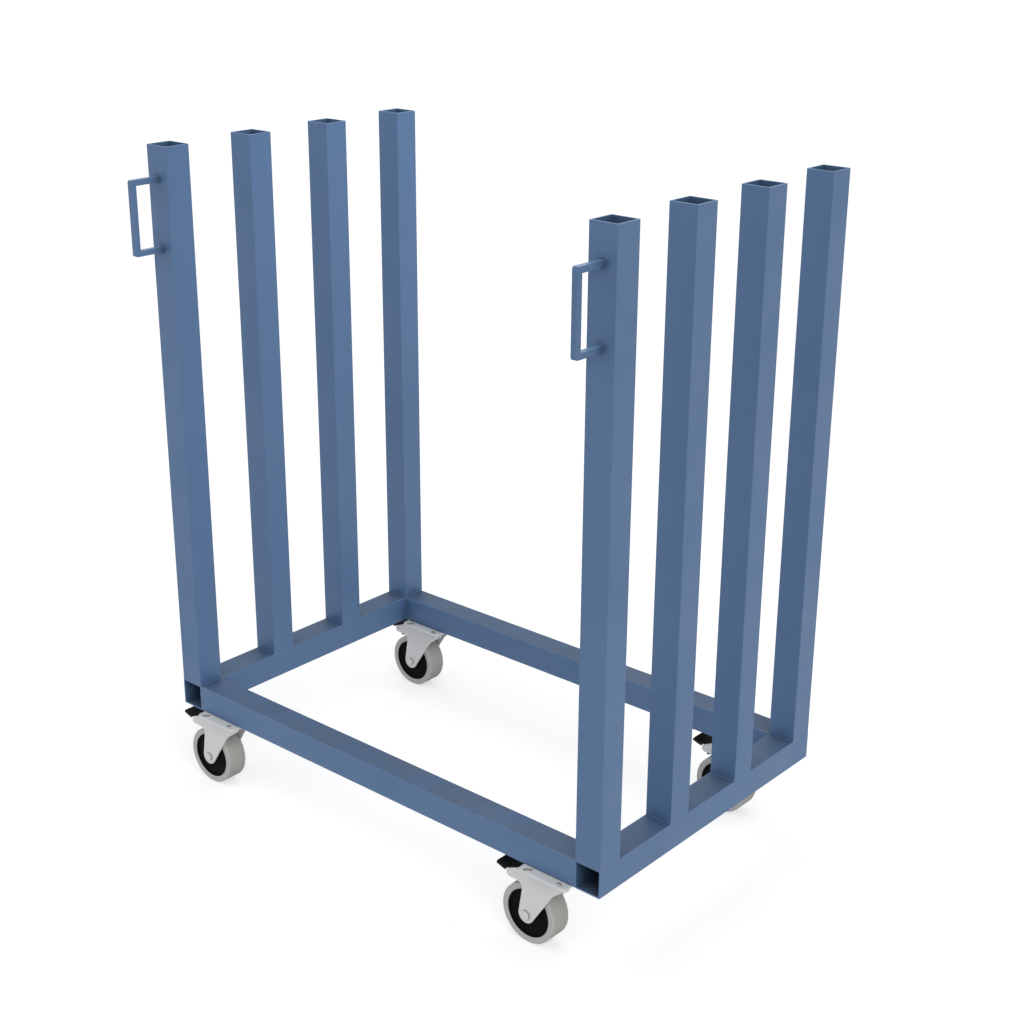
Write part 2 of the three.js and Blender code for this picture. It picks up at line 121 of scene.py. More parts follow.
def stretch(tree, value, low, high, new_low=0.0, new_high=1.0):
    """The part of a value from low to high, spread over a new range and clamped there."""
    limits = {"Value": value, "From Min": low, "From Max": high, "To Min": new_low, "To Max": new_high}
    return add_node(tree, "MapRange", limits).outputs[0]


def mix_colour(tree, share, first, second):
    """A colour between two others. A colour Mix node keeps its sockets at these numbers."""
    return add_node(tree, "Mix", {0: share, 6: first, 7: second}, data_type="RGBA").outputs[2]


def seen_directly(tree):
    """1 for a ray that shows the surface to the camera, in a reflection or through glass, and 0 otherwise."""
    path = add_node(tree, "LightPath").outputs
    shiny = calculate(tree, "MAXIMUM", path["Is Glossy Ray"], path["Is Transmission Ray"])
    return calculate(tree, "MAXIMUM", path["Is Camera Ray"], shiny)


print("node helpers ready")

# %% Floor, sky and suns
FLOOR_RADIUS, FLOOR_STEPS = 40, 128
FLOOR_BELOW = 0.0004  # a hair under the wheels, so the two surfaces never coincide
FLOOR_COLOUR = (0.55, 0.55, 0.55, 1)
FLOOR_GLOW = 0.56
SKY_LIGHT = 0.635
WHITE = (1, 1, 1, 1)

floor_bm = bmesh.new()
bmesh.ops.create_circle(floor_bm, cap_ends=True, segments=FLOOR_STEPS, radius=FLOOR_RADIUS)
floor_mesh = bpy.data.meshes.new("floor")
floor_bm.to_mesh(floor_mesh)
floor_bm.free()
floor = add_object("floor", floor_mesh)
floor.location.z = -FLOOR_BELOW

floor_paint = bpy.data.materials.new("pale floor")
floor_paint.use_nodes = True
floor_tree = floor_paint.node_tree
floor_shader = floor_tree.nodes["Principled BSDF"]
floor_shader.inputs["Base Color"].default_value = FLOOR_COLOUR
floor_shader.inputs["Roughness"].default_value = 1.0
floor_shader.inputs["Specular IOR Level"].default_value = 0.0
floor_shader.inputs["Emission Color"].default_value = WHITE
glow = calculate(floor_tree, "MULTIPLY", seen_directly(floor_tree), FLOOR_GLOW)
floor_tree.links.new(glow, floor_shader.inputs["Emission Strength"])
floor_mesh.materials.append(floor_paint)

sky = bpy.data.worlds.new("studio")
sky.use_nodes = True
bpy.context.scene.world = sky
sky_strength = stretch(sky.node_tree, seen_directly(sky.node_tree), 0, 1, SKY_LIGHT, 1.0)
sky_light = sky.node_tree.nodes["Background"]
sky_light.inputs["Color"].default_value = WHITE
sky.node_tree.links.new(sky_strength, sky_light.inputs["Strength"])

SUNS = {  # azimuth, elevation and softness in degrees, then strength
    "key": (64, 36, 40, 1.05),
    "fill": (-35, 48, 60, 0.35),
}
for sun_name, (azimuth, elevation, softness, strength) in SUNS.items():
    sun = add_object(sun_name, bpy.data.lights.new(sun_name, "SUN"))
    towards = compass(math.radians(azimuth), math.radians(elevation))
    sun.rotation_euler = towards.to_track_quat("Z", "Y").to_euler()
    sun.data.energy = strength
    sun.data.angle = math.radians(softness)

SOFTBOX_AT = Vector((0, 0.6, 2.2))
SOFTBOX_SIDE = 1.0
SOFTBOX_POWER = 8
softbox = add_object("softbox", bpy.data.lights.new("softbox", "AREA"))
softbox.location = SOFTBOX_AT
softbox.data.size = SOFTBOX_SIDE
softbox.data.energy = SOFTBOX_POWER
softbox.visible_camera = False
print("lit by", sorted(SUNS), "a softbox and a sky of", SKY_LIGHT)

# %% [markdown]
# ## Effects that several finishes share
# Paint, zinc, rubber and plastic differ in colour and gloss, but they share what makes a surface look
# real: a fine grain, a slow drift in tone, edges that wear first and dust on what faces up. Two more groups
# paint shade into the colour: painted shade in corners and recesses, and painted shade round the welds of the
# grips. Each is a shader node group, built once and placed in a material with that material's own values. The
# groups read object coordinates, so a pattern sticks to its piece when the piece moves.

# %% Helpers for node groups
def effect(name, inputs, outputs):
    """An empty node group with these sockets: each is a name, a socket type and, for inputs, a default."""
    tree = bpy.data.node_groups.new(name, "ShaderNodeTree")
    for socket, kind, default in inputs:
        made = tree.interface.new_socket(socket, in_out="INPUT", socket_type="NodeSocket" + kind)
        made.default_value = default
    for socket, kind in outputs:
        tree.interface.new_socket(socket, in_out="OUTPUT", socket_type="NodeSocket" + kind)
    return tree, tree.nodes.new("NodeGroupInput").outputs, tree.nodes.new("NodeGroupOutput").inputs


def noise(tree, scale, detail=2.0):
    """Noise in object coordinates. Scale counts patches in a metre."""
    spot = add_node(tree, "TexCoord").outputs["Object"]
    return add_node(tree, "TexNoise", {"Vector": spot, "Scale": scale, "Detail": detail}).outputs[0]


def product(tree, *factors):
    """All the factors multiplied together."""
    total = factors[0]
    for factor in factors[1:]:
        total = calculate(tree, "MULTIPLY", total, factor)
    return total


print("group helpers ready")

# %% Node groups for grain, tone and dust
# Most of a noise lies between 0.3 and 0.7, so each group below spreads a part of that range.
FINER, FINER_SHARE = 3.1, 0.35  # the second layer of grain, against the first

tree, given, result = effect(
    "Fine grain",
    [("Grains per metre", "Float", 400.0), ("Patches per metre", "Float", 9.0)],
    [("Height", "Float"), ("Patches", "Float")],
)
coarse = noise(tree, given["Grains per metre"])
finer = noise(tree, product(tree, given["Grains per metre"], FINER))
tree.links.new(calculate(tree, "ADD", coarse, product(tree, finer, FINER_SHARE)), result["Height"])
tree.links.new(stretch(tree, noise(tree, given["Patches per metre"], 4.0), 0.35, 0.65), result["Patches"])

tree, given, result = effect(
    "Tone drift",
    [("Colour", "Color", WHITE), ("Other colour", "Color", WHITE), ("Drifts per metre", "Float", 3.0)],
    [("Colour", "Color")],
)
drift = stretch(tree, noise(tree, given["Drifts per metre"], 3.0), 0.3, 0.7)
tree.links.new(mix_colour(tree, drift, given["Colour"], given["Other colour"]), result["Colour"])

tree, given, result = effect(
    "Settled dust",
    [("Specks per metre", "Float", 40.0), ("Amount", "Float", 0.2)],
    [("Mask", "Float")],
)
facing = add_node(tree, "NewGeometry").outputs["Normal"]
upness = stretch(tree, add_node(tree, "SeparateXYZ", {0: facing}).outputs["Z"], 0.7, 1.0)
drifted = stretch(tree, noise(tree, given["Specks per metre"], 6.0), 0.35, 0.75)
tree.links.new(product(tree, upness, drifted, given["Amount"]), result["Mask"])
print("effects so far:", sorted(g.name for g in bpy.data.node_groups))

# %% Node groups for wear, painted corner shade and painted weld shade
FEELERS = 6  # short rays that feel for an edge or a corner near a point
WELD_SHADE_SPECKS = 250.0  # in a metre

tree, given, result = effect(
    "Edge wear",
    [("Width", "Float", 0.002), ("Breaks per metre", "Float", 60.0), ("Amount", "Float", 0.5)],
    [("Mask", "Float")],
)
eased = add_node(tree, "Bevel", {"Radius": given["Width"]}, samples=FEELERS).outputs[0]
facing = add_node(tree, "NewGeometry").outputs["Normal"]
alike = add_node(tree, "VectorMath", {0: eased, 1: facing}, operation="DOT_PRODUCT").outputs["Value"]
near_edge = stretch(tree, alike, 0.99, 0.75)
broken = stretch(tree, noise(tree, given["Breaks per metre"], 4.0), 0.38, 0.62)
tree.links.new(product(tree, near_edge, broken, given["Amount"]), result["Mask"])

tree, given, result = effect(
    "Painted corner shade",
    [("Reach", "Float", 0.04), ("Amount", "Float", 0.5)],
    [("Mask", "Float")],
)
# Painted shade: the mask grows where ambient occlusion finds the surface closed in, so corners, recesses and
# the insides of tubes darken.
open_air = add_node(tree, "AmbientOcclusion", {"Distance": given["Reach"]}, samples=FEELERS).outputs["AO"]
closed_in = stretch(tree, open_air, 0.8, 0.1)
tree.links.new(product(tree, closed_in, given["Amount"]), result["Mask"])

# Painted shade round the welds of the grips: the colour darkens near a joint, mirrored in x to both uprights.
tree, given, result = effect(
    "Painted weld shade",
    [("Joint", "Vector", (0, 0, 0)), ("Reach", "Float", 0.019), ("Amount", "Float", 0.24)],
    [("Mask", "Float")],
)
spot = add_node(tree, "TexCoord").outputs["Object"]
x, y, z = add_node(tree, "SeparateXYZ", {0: spot}).outputs
mirrored = add_node(tree, "CombineXYZ", {0: calculate(tree, "ABSOLUTE", x), 1: y, 2: z}).outputs[0]
away = add_node(tree, "VectorMath", {0: mirrored, 1: given["Joint"]}, operation="DISTANCE").outputs["Value"]
near_joint = stretch(tree, calculate(tree, "DIVIDE", away, given["Reach"]), 1.0, 0.4)
patchy = stretch(tree, noise(tree, WELD_SHADE_SPECKS, 4.0), 0.2, 0.6, 0.6, 1.0)
tree.links.new(product(tree, near_joint, patchy, given["Amount"]), result["Mask"])
print("effects:", sorted(g.name for g in bpy.data.node_groups))

# %% [markdown]
# ## Finishes
# Every finish is one Principled shader fed by those groups. A number that is the same all over a surface is
# set on the shader itself. Powder coat is satin with a faint orange peel. Its edges are lighter, partly wear
# and partly a painted highlight. A dark dust on the tops of the rails is partly dust and partly painted
# shade, and the upward faces of the uprights' rims and the grips are a lighter blue, which is painted light.
# Zinc plate is a cloudy pale metal. The tyres are a grey rubber that leaves no marks. The wheel centres are
# black moulded plastic, and the pedals are painted black.

# %% Helpers for finishes
def linear(red, green, blue):
    """A colour given as it looks on screen, from 0 to 255, in the linear values that shaders use."""
    shares = [c / 255 for c in (red, green, blue)]
    return tuple(c / 12.92 if c <= 0.04045 else ((c + 0.055) / 1.055) ** 2.4 for c in shares) + (1,)


def place_effect(tree, name, **values):
    """One of the groups above, placed in a material. An underscore stands for a space in a socket's name."""
    made = add_node(tree, "Group", node_tree=bpy.data.node_groups[name])
    for key, value in values.items():
        made.inputs[key.replace("_", " ")].default_value = value
    return made.outputs


def feet_of(node):
    """Where the two legs of a grip meet its upright, and half the thickness of its bar."""
    low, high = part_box(node)
    half = (high.x - low.x) / 2
    return [Vector(((low.x + high.x) / 2, high.y, z)) for z in (low.z + half, high.z - half)], half


# The dark colour of the painted shade round the welds of the grips, and how far its centre is moved from each
# joint.
WELD_SHADE_COLOUR = linear(40, 52, 66)
WELD_SHADE_SHIFT = Vector((0, -4, 3)) * MM  # the painted weld shade is centred up, and out along the leg
# These are on the right upright, and the effect mirrors them to the left one.
HANDLE_JOINTS = [foot + WELD_SHADE_SHIFT for foot in feet_of("handle_right")[0]]


def finish_of(name, tones, worn, dust, corner_shade, rough, grain, wear, metallic=0.0, specular=0.5, joints=()):
    """A finish of two tones that drift, and a tone for worn edges. Tones are as they look on screen.

    Dust is a tone, specks per metre and an amount. Corner shade is a tone, its reach and an amount, and is
    painted shade where ambient occlusion finds corners and recesses. Rough is the least and the most
    roughness. Grain is grains and patches per metre, then depth and strength. Wear is a width, breaks per
    metre and an amount. Joints are where painted shade darkens the paint round welds.
    """
    material = bpy.data.materials.new(name)
    material.use_nodes = True
    tree = material.node_tree
    shader = tree.nodes["Principled BSDF"]
    first, second = (linear(*tone) for tone in tones)
    tone = place_effect(tree, "Tone drift", Colour=first, Other_colour=second)["Colour"]
    mask = place_effect(tree, "Edge wear", Width=wear[0], Breaks_per_metre=wear[1], Amount=wear[2])["Mask"]
    powder = place_effect(tree, "Settled dust", Specks_per_metre=dust[1], Amount=dust[2])["Mask"]
    corner_shade_mask = place_effect(tree, "Painted corner shade", Reach=corner_shade[1], Amount=corner_shade[2])["Mask"]
    tone = mix_colour(tree, powder, mix_colour(tree, mask, tone, linear(*worn)), linear(*dust[0]))
    for joint in joints:
        weld_shade = place_effect(tree, "Painted weld shade", Joint=joint)["Mask"]
        tone = mix_colour(tree, weld_shade, tone, WELD_SHADE_COLOUR)
    tree.links.new(mix_colour(tree, corner_shade_mask, tone, linear(*corner_shade[0])), shader.inputs["Base Color"])
    fine = place_effect(tree, "Fine grain", Grains_per_metre=grain[0], Patches_per_metre=grain[1])
    tree.links.new(stretch(tree, fine["Patches"], 0, 1, rough[0], rough[1]), shader.inputs["Roughness"])
    bump = add_node(tree, "Bump", {"Strength": grain[3], "Distance": grain[2], "Height": fine["Height"]})
    tree.links.new(bump.outputs[0], shader.inputs["Normal"])
    shader.inputs["Metallic"].default_value = metallic
    shader.inputs["Specular IOR Level"].default_value = specular
    return material


print("painted weld shade at heights", [round(joint.z, 3) for joint in HANDLE_JOINTS])

# %% Finishes
FINISHES = {  # the record's slot, and the finish for it
    "frame_blue": finish_of(
        "blue powder coat",
        ((81, 111, 150), (84, 115, 154)),
        # The lighter edges are partly wear and partly a painted highlight on the rims.
        worn=(132, 157, 191),
        # This dark dust on upward faces is partly dust and partly painted shade.
        dust=((76, 83, 91), 12.0, 0.6),
        # Painted shade in the corners of the frame and inside the tubes.
        corner_shade=((24, 32, 44), 0.07, 0.77),
        rough=(0.4, 0.52),
        grain=(420.0, 7.0, 0.0004, 0.2),
        wear=(0.0016, 45.0, 0.75),
        specular=0.4,
        joints=HANDLE_JOINTS,
    ),
    "caster_zinc": finish_of(
        "zinc plate",
        ((222, 222, 222), (213, 214, 215)),
        worn=(232, 232, 231),
        dust=((180, 178, 173), 60.0, 0.12),
        corner_shade=((100, 100, 100), 0.012, 0.25),
        rough=(0.42, 0.56),
        grain=(900.0, 40.0, 0.0002, 0.2),
        wear=(0.0012, 160.0, 0.5),
        metallic=0.15,
    ),
    "tyre_grey": finish_of(
        "grey rubber",
        ((192, 192, 191), (185, 185, 184)),
        worn=(164, 163, 160),
        dust=((160, 156, 148), 90.0, 0.15),
        corner_shade=((96, 95, 92), 0.01, 0.4),
        rough=(0.7, 0.85),
        grain=(1500.0, 50.0, 0.0002, 0.3),
        wear=(0.0015, 120.0, 0.4),
        specular=0.2,
    ),
    "core_black": finish_of(
        "black moulded plastic",
        ((11, 11, 12), (14, 14, 15)),
        worn=(30, 30, 31),
        dust=((60, 58, 55), 120.0, 0.05),
        corner_shade=((8, 8, 8), 0.01, 0.5),
        rough=(0.5, 0.62),
        grain=(1300.0, 60.0, 0.0002, 0.3),
        wear=(0.0012, 140.0, 0.3),
        specular=0.03,
    ),
    "pedal_black": finish_of(
        "black pedal paint",
        ((20, 20, 21), (23, 23, 24)),
        worn=(70, 71, 73),
        dust=((64, 62, 59), 120.0, 0.05),
        corner_shade=((8, 8, 8), 0.01, 0.5),
        rough=(0.4, 0.55),
        grain=(700.0, 60.0, 0.0003, 0.25),
        wear=(0.001, 120.0, 0.35),
        specular=0.1,
    ),
}
# Painted light: a lighter blue for the upward faces of the uprights' rims and of the grips, as if lit from
# above.
lit_top_paint = finish_of(
    "paint with painted top light",
    ((98, 130, 170), (103, 136, 177)),
    worn=(140, 164, 196),
    dust=((150, 160, 172), 30.0, 0.08),
    corner_shade=((24, 32, 44), 0.01, 0.3),
    rough=(0.34, 0.46),
    grain=(420.0, 7.0, 0.0004, 0.15),
    wear=(0.0012, 45.0, 0.75),
    specular=0.4,
    joints=HANDLE_JOINTS,
)
# The tops of the rails get this darker blue: partly dust and partly painted shade.
dust_and_shade_top_paint = finish_of(
    "paint under dust and painted shade",
    ((69, 93, 124), (72, 97, 129)),
    worn=(120, 143, 173),
    dust=((76, 83, 91), 12.0, 0.5),
    corner_shade=((24, 32, 44), 0.07, 0.77),
    rough=(0.5, 0.62),
    grain=(420.0, 7.0, 0.0004, 0.2),
    wear=(0.0016, 45.0, 0.75),
    specular=0.3,
)
print("finishes:", sorted(material.name for material in bpy.data.materials))

# %% [markdown]
# ## Making meshes
# Three ways cover the whole cart. A loft joins rings of points, and makes tubes, bars and beads. A turned
# profile is a loft round an axis, as on a lathe. A flat outline with holes, filled and given thickness, is
# what a press cuts from sheet. Each mesh is shaded smooth except across real corners, and a weighted
# normal modifier keeps the large flats flat.

# %% Lofts and turned meshes
WELD_DISTANCE = 1e-6


def mesh_from(bm, name):
    bmesh.ops.remove_doubles(bm, verts=bm.verts, dist=WELD_DISTANCE)
    bmesh.ops.recalc_face_normals(bm, faces=bm.faces)
    mesh = bpy.data.meshes.new(name)
    bm.to_mesh(mesh)
    bm.free()
    return mesh


def loft(name, rings, ring_closed=True, ends="capped"):
    """A skin over rings of as many points each. Its ends are capped, or joined to each other."""
    bm = bmesh.new()
    rows = [[bm.verts.new(point) for point in ring] for ring in rings]
    count = len(rows[0])
    steps = list(zip(rows, rows[1:]))
    if ends == "joined":
        steps.append((rows[-1], rows[0]))
    for here, there in steps:
        for i in range(count if ring_closed else count - 1):
            j = (i + 1) % count
            bm.faces.new((here[i], here[j], there[j], there[i]))
    if ends == "capped":
        bm.faces.new(rows[0])
        bm.faces.new(rows[-1])
    return mesh_from(bm, name)


def turned(name, profile, steps=72, closed=False):
    """A profile of (radius, distance along Y) turned about Y. Closed is for rings that have a bore."""
    rings = []
    for k in range(steps):
        angle = math.tau * k / steps
        rings.append([(r * math.cos(angle), y, r * math.sin(angle)) for r, y in profile])
    return loft(name, rings, ring_closed=closed, ends="joined")


print("lofts and turning ready")


# %% Outlines and sheets
def filleted(corners, steps=4):
    """A closed outline whose corners (x, y, radius) are rounded."""
    points = []
    for i, (x, y, radius) in enumerate(corners):
        here = Vector((x, y))
        if radius == 0:
            points.append(here)
            continue
        before = (Vector(corners[i - 1][:2]) - here).normalized()
        after = (Vector(corners[(i + 1) % len(corners)][:2]) - here).normalized()
        half = before.angle(after) / 2
        centre = here + (before + after).normalized() * (radius / math.sin(half))
        start = here + before * (radius / math.tan(half)) - centre
        end = here + after * (radius / math.tan(half)) - centre
        sweep = math.atan2(start.x * end.y - start.y * end.x, start.dot(end))
        for k in range(steps + 1):
            points.append(centre + Matrix.Rotation(sweep * k / steps, 2) @ start)
    return points


def flattened(made):
    """The final mesh of an object with modifiers, or of a curve, after which the object is removed."""
    mesh = bpy.data.meshes.new_from_object(made.evaluated_get(bpy.context.evaluated_depsgraph_get()))
    bpy.data.objects.remove(made)
    return mesh


def cut_sheet(name, outline, holes, thickness, edge=0.0):
    """A flat outline with holes in the XY plane, thick along Z and centred there, with rounded edges."""
    curve = bpy.data.curves.new(name, "CURVE")
    curve.dimensions = "2D"
    curve.fill_mode = "BOTH"
    curve.extrude = thickness / 2 - edge
    curve.bevel_depth = edge
    curve.bevel_resolution = 1
    curve.offset = -edge
    for loop in [outline, *holes]:
        spline = curve.splines.new("POLY")
        spline.points.add(len(loop) - 1)
        spline.use_cyclic_u = True
        for point, place in zip(spline.points, loop):
            point.co = (place[0], place[1], 0, 1)
    bm = bmesh.new()
    bm.from_mesh(flattened(add_object(name, curve)))
    return mesh_from(bm, name)


def circle(radius, steps=32):
    angles = [math.tau * k / steps for k in range(steps)]
    return [Vector((radius * math.cos(a), radius * math.sin(a))) for a in angles]


print("sheet cutting ready")

# %% Combining, easing and placing
SHARP_ANGLE = math.radians(40)


def combined(first, second, operation):
    """Two closed meshes joined, cut or intersected."""
    other = add_object("other", second)
    made = add_object(first.name, first)
    modifier = made.modifiers.new("combine", "BOOLEAN")
    modifier.object = other
    modifier.operation = operation
    modifier.solver = "EXACT"
    mesh = flattened(made)
    bpy.data.objects.remove(other)
    return mesh


def eased_edges(mesh, width):
    """The mesh with its sharp edges rounded, as tumbling or painting leaves them."""
    made = add_object(mesh.name, mesh)
    modifier = made.modifiers.new("ease", "BEVEL")
    modifier.width = width
    modifier.segments = 2
    modifier.limit_method = "ANGLE"
    modifier.angle_limit = SHARP_ANGLE
    return flattened(made)


def moved(mesh, x=0.0, y=0.0, z=0.0):
    mesh.transform(Matrix.Translation((x, y, z)))
    return mesh


def side_on(mesh):
    """A sheet drawn in X and Y, stood up so that it lies in X and Z and is thick along Y."""
    mesh.transform(Matrix.Rotation(math.pi / 2, 4, "X"))
    return mesh


def end_on(mesh):
    """A sheet drawn in X and Y, stood up so that those become Y and Z, and it is thick along X."""
    mesh.transform(Matrix.Rotation(math.pi / 2, 4, "Z") @ Matrix.Rotation(math.pi / 2, 4, "X"))
    return mesh


def two_finishes(mesh, main, other, picked):
    """The main finish all over, and the other one on the faces that a test picks."""
    mesh.materials.append(main)
    mesh.materials.append(other)
    for face in mesh.polygons:
        face.material_index = int(picked(face))


def place_piece(name, mesh, body, slot, replaced=(), at=(0, 0, 0)):
    """A finished piece: placed, shaded, given its finish, and tied to the body that it moves with."""
    piece = add_object(name, mesh)
    piece.location = at
    if not mesh.materials:
        mesh.materials.append(FINISHES[slot])
    mesh.shade_smooth()
    mesh.set_sharp_from_angle(angle=SHARP_ANGLE)
    shading = piece.modifiers.new("even shading", "WEIGHTED_NORMAL")
    shading.keep_sharp = True
    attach(piece, body)
    if replaced:
        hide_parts(*replaced)
    return piece


print("mesh helpers ready, corners over", round(math.degrees(SHARP_ANGLE)), "degrees stay sharp")

# %% [markdown]
# ## Square tubes
# The rails and uprights are sawn lengths of 60 mm square tube with a 3 mm wall. A box with a bevel would
# look right from outside, but the tops are open and the photograph looks into them. So each tube is a loft
# of its section: up the outside, over the cut end, and down the inside, with the saw's burr taken off. The
# foot of an upright is shaped to the rounded edges of its rail, so their flush sides run on without a gap.
# The upward faces of the uprights' rims are a lighter blue, which is painted light, and the tops of the rails
# are darker, partly dust and partly painted shade.

# %% Square tubes
TUBE_WALL = 3 * MM
TUBE_CORNER = 1.6 * MM
TUBE_INNER_CORNER = 0.8 * MM
TUBE_BURR = 0.3 * MM
FLAT = 0.9  # a face whose normal rises more than this looks up


def finish_tops(mesh, finish):
    """Blue paint all over, and another finish where a face looks up."""
    two_finishes(mesh, FINISHES["frame_blue"], finish, lambda face: face.normal.z > FLAT)


def fall_of_rail(offset, half):
    """How far the rail's top lies below its flat part, at an offset from its middle."""
    past = max(0, abs(offset) - (half - TUBE_CORNER))
    return TUBE_CORNER - math.sqrt(max(0, TUBE_CORNER**2 - past**2))


def square_tube(node, on_rail=False):
    low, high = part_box(node)
    size = high - low
    along = max(range(3), key=lambda i: size[i])
    across = [i for i in range(3) if i != along]
    middle = (low + high) / 2
    half = size[across[0]] / 2

    def section(inset, corner, station, shaped=False):
        reach = half - inset
        corners = [(reach, reach), (-reach, reach), (-reach, -reach), (reach, -reach)]
        ring = []
        for u, v in filleted([(x, y, corner) for x, y in corners]):
            point = middle.copy()
            point[across[0]] += u
            point[across[1]] += v
            point[along] = station - (fall_of_rail(u, half) if shaped else 0)
            ring.append(point)
        return ring

    start, end = low[along], high[along]
    rings = [
        section(0, TUBE_CORNER, end - TUBE_BURR),
        section(TUBE_BURR, TUBE_CORNER - TUBE_BURR, end),
        section(TUBE_WALL - TUBE_BURR, TUBE_INNER_CORNER + TUBE_BURR, end),
        section(TUBE_WALL, TUBE_INNER_CORNER, end - TUBE_BURR),
    ]
    if on_rail:
        rings += [section(TUBE_WALL, TUBE_INNER_CORNER, start), section(0, TUBE_CORNER, start, shaped=True)]
    else:
        rings += [
            section(TUBE_WALL, TUBE_INNER_CORNER, start + TUBE_BURR),
            section(TUBE_WALL - TUBE_BURR, TUBE_INNER_CORNER + TUBE_BURR, start),
            section(TUBE_BURR, TUBE_CORNER - TUBE_BURR, start),
            section(0, TUBE_CORNER, start + TUBE_BURR),
        ]
    mesh = loft(node, rings, ends="joined")
    # The rims of the uprights get painted light, and the tops of the rails get painted shade with dust.
    finish_tops(mesh, lit_top_paint if on_rail else dust_and_shade_top_paint)
    return place_piece(node + "_tube", mesh, "frame", "frame_blue", [node])


SIDES = ("left", "right")
UPRIGHTS = [f"upright_{side}_{i}" for side in SIDES for i in range(1, 5)]
RAILS = ["side_rail_left", "side_rail_right", "front_rail", "rear_rail"]
tubes = [square_tube(node) for node in RAILS]
tubes += [square_tube(node, on_rail=True) for node in UPRIGHTS]
print("tubes:", len(tubes))

# %% [markdown]
# ## Handles
# Each grip is 12 mm square bar, bent into a U and welded to its upright. A bar swept along a curve would
# narrow in the bends. So the U is drawn as a flat outline, sharp inside and a little rounded outside each
# bend, and given the bar's thickness.

# %% Handles
BAR_BEND = 4.5 * MM
BAR_EDGE = 0.6 * MM


def handle(node):
    low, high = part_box(node)
    bar = high.x - low.x
    corners = [
        (high.y, high.z, 0),
        (low.y, high.z, BAR_BEND),
        (low.y, low.z, BAR_BEND),
        (high.y, low.z, 0),
        (high.y, low.z + bar, 0),
        (low.y + bar, low.z + bar, 0),
        (low.y + bar, high.z - bar, 0),
        (high.y, high.z - bar, 0),
    ]
    mesh = end_on(cut_sheet(node, filleted(corners), [], bar))
    mesh = eased_edges(moved(mesh, x=(low.x + high.x) / 2), BAR_EDGE)
    # The upward faces of the grip get the lighter blue of painted light.
    finish_tops(mesh, lit_top_paint)
    return place_piece(node + "_bar", mesh, "frame", "frame_blue", [node])


HANDLES = [f"handle_{side}" for side in SIDES]
bars = [handle(node) for node in HANDLES]
print("handles:", [piece.name for piece in bars])

# %% [markdown]
# ## Weld beads
# The frame is held together by small fillet welds, painted over. A bump map could hint at them, but a bead
# has a profile of its own, so each is a mesh: a rounded fillet swept along the seam, swelling and shrinking
# where each drop of metal set. Its ripples bow backwards, because the middle of the pool freezes last. The
# paint over a bead is dull, and darker than the tubes as painted shade in the corner of the joint.

# %% Sizes and paint of the weld beads
X, Y, Z = Vector((1, 0, 0)), Vector((0, 1, 0)), Vector((0, 0, 1))
WELD_LEG = 1.8 * MM
WELD_RIPPLE = 2 * MM  # length of one drop
WELD_STEPS = 4  # rings in one drop
WELD_SINK = 0.3 * MM  # how far the bead's hidden side reaches into the steel
WELD_BOW = 0.6 * MM
WELD_FACETS = 6  # across a bead
WELD_HOLLOW = 0.26  # share of the leg by which the bead is thinner in its middle
RIPPLE_DEPTH = 0.14  # share of the leg that a drop loses towards its end
TAPERED = 0.45  # share of the leg that is left at the end of a bead

# Painted shade: the beads get a darker blue, standing in for the shade in the corners where they lie.
shaded_weld_paint = finish_of(
    "paint over welds with painted shade",
    ((70, 95, 126), (76, 102, 135)),
    worn=(86, 113, 148),
    dust=((96, 106, 118), 60.0, 0.1),
    corner_shade=((24, 32, 44), 0.02, 0.5),
    rough=(0.6, 0.75),
    grain=(900.0, 40.0, 0.0003, 0.3),
    wear=(0.0006, 200.0, 0.3),
    specular=0.2,
    joints=HANDLE_JOINTS,
)
print("beads of", round(WELD_LEG / MM, 1), "mm with a drop every", round(WELD_RIPPLE / MM, 1), "mm")


# %% Helpers for weld beads
def bead_ring(root, along, up, out, leg):
    """One section of a bead in the corner between two faces, which run away from it along up and out."""
    ring = [root - (up + out) * WELD_SINK]
    for k in range(WELD_FACETS + 1):
        angle = math.pi / 2 * k / WELD_FACETS
        bulge = 1 - WELD_HOLLOW + WELD_HOLLOW * abs(math.cos(2 * angle))
        arm = (out * math.cos(angle) + up * math.sin(angle)) * (leg * bulge)
        ring.append(root + arm - along * (WELD_BOW * math.sin(2 * angle)))
    return ring


def ripple(distance, length=None):
    """How thick the bead is at a distance along it. With a length, its two ends taper."""
    phase = (distance / WELD_RIPPLE) % 1
    size = 1 - RIPPLE_DEPTH + RIPPLE_DEPTH * math.sqrt(1 - phase)
    if length:
        to_end = max(0, min(distance, length - distance))
        size *= min(1, TAPERED + (1 - TAPERED) * to_end / WELD_RIPPLE)
    return size


def straight_bead(name, start, end, up, out):
    length = (end - start).length
    along = (end - start).normalized()
    count = round(length / WELD_RIPPLE) * WELD_STEPS
    rings = []
    for k in range(count + 1):
        distance = length * k / count
        rings.append(bead_ring(start + along * distance, along, up, out, WELD_LEG * ripple(distance, length)))
    return loft(name, rings)


